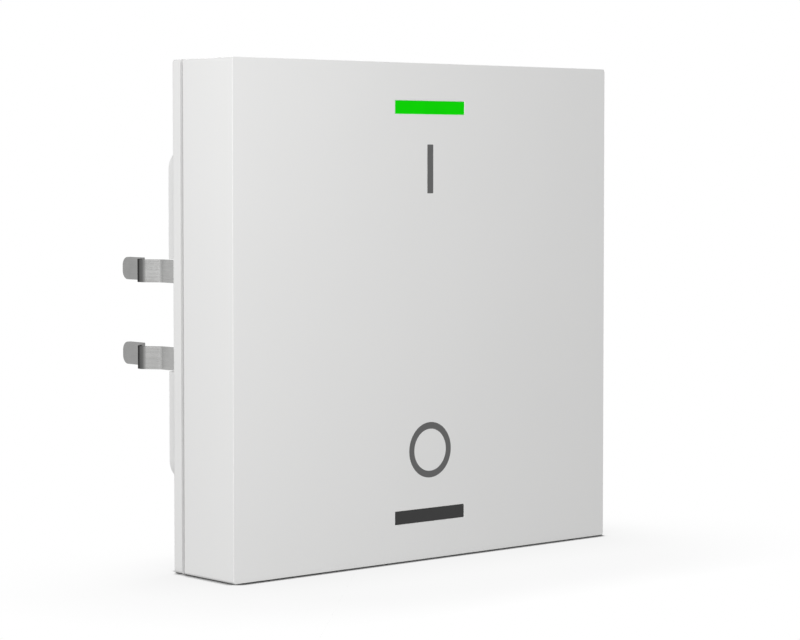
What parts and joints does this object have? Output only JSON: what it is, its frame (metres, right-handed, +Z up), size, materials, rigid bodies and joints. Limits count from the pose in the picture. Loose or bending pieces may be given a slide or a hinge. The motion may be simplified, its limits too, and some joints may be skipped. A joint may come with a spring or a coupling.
{
  "type": "pushbutton switch",
  "caption": "Square flat wall pushbutton with a full-face tilting rocker, slim indicator bars, on and off marks, a thin rear flange and sprung retaining clips behind.",
  "frame": {"origin": "centre of the plane on which the flange's back face bears, in the middle of the square face", "axes": "+Z up as fixed on a wall, the rocker's face looks along -Y, +Y points into the wall, +X to the right seen from the front"},
  "size_m": [0.055, 0.0253, 0.055],
  "materials": {
    "white_plastic": "fine satin moulded surface",
    "carrier_plastic": "matt moulded",
    "lit_guide": "translucent bar, lit green",
    "dark_guide": "translucent smoke bar, unlit",
    "spring_steel": "rolled strip, bright",
    "board_laminate": "lacquered laminate",
    "switch_plastic": "matt moulded",
    "switch_plate": "tinned sheet",
    "dome_steel": "bright spring sheet",
    "plunger_plastic": "satin moulded",
    "key_plastic": "satin moulded",
    "lamp_body": "matt moulded",
    "pin_block_plastic": "matt moulded",
    "tinned_pin": "tinned wire",
    "chip_resin": "matt resin",
    "capacitor_resin": "satin resin",
    "ferrite": "sintered",
    "crystal_can": "drawn sheet",
    "passive_ceramic": "fired ceramic",
    "screw_steel": "zinc plated"
  },
  "bodies": {
    "housing": {"rear_housing": "white_plastic", "rocker_carrier": "carrier_plastic", "left_retaining_clip": "spring_steel", "right_retaining_clip": "spring_steel", "circuit_board": "board_laminate", "upper_switch_base": "switch_plastic", "lower_switch_base": "switch_plastic", "programming_switch_base": "switch_plastic", "upper_switch_cover": "switch_plate", "lower_switch_cover": "switch_plate", "programming_switch_cover": "switch_plate", "upper_snap_dome": "dome_steel", "lower_snap_dome": "dome_steel", "programming_snap_dome": "dome_steel", "upper_led": "lamp_body", "lower_led": "lamp_body", "programming_led": "lamp_body", "bus_pin_block": "pin_block_plastic", "bus_pin_negative": "tinned_pin", "bus_pin_positive": "tinned_pin", "controller_chip": "chip_resin", "bus_transceiver_chip": "chip_resin", "storage_capacitor": "capacitor_resin", "choke": "ferrite", "crystal": "crystal_can", "chip_passives": "passive_ceramic", "housing_screws": "screw_steel"},
    "rocker": {"rocker_cover": "white_plastic", "upper_light_guide": "lit_guide", "lower_light_guide": "dark_guide"},
    "upper_plunger": {"upper_plunger": "plunger_plastic"},
    "lower_plunger": {"lower_plunger": "plunger_plastic"},
    "programming_button": {"programming_button": "key_plastic"}
  },
  "joints": [
    {"name": "rocker_tilt", "type": "hinge", "parent": "housing", "child": "rocker", "pos_m": [0, -0.0071, 0], "axis": [-1, 0, 0], "range_deg": [-0.7, 0.7], "stiffness_Nm_per_rad": 1.8},
    {"name": "upper_plunger_slide", "type": "slide", "parent": "housing", "child": "upper_plunger", "axis": [0, 1, 0], "range_m": [-0.00018, 0.00018], "deforming": ["upper_snap_dome"]},
    {"name": "lower_plunger_slide", "type": "slide", "parent": "housing", "child": "lower_plunger", "axis": [0, 1, 0], "range_m": [-0.00018, 0.00018], "deforming": ["lower_snap_dome"]},
    {"name": "programming_button_press", "type": "slide", "parent": "housing", "child": "programming_button", "axis": [0, -1, 0], "range_m": [0, 0.00025], "stiffness_N_per_m": 6000, "deforming": ["programming_snap_dome"]}
  ],
  "couplings": [
    {"joint": "upper_plunger_slide", "follows": "rocker_tilt", "m_per_rad": 0.014},
    {"joint": "lower_plunger_slide", "follows": "rocker_tilt", "m_per_rad": -0.014}
  ]
}
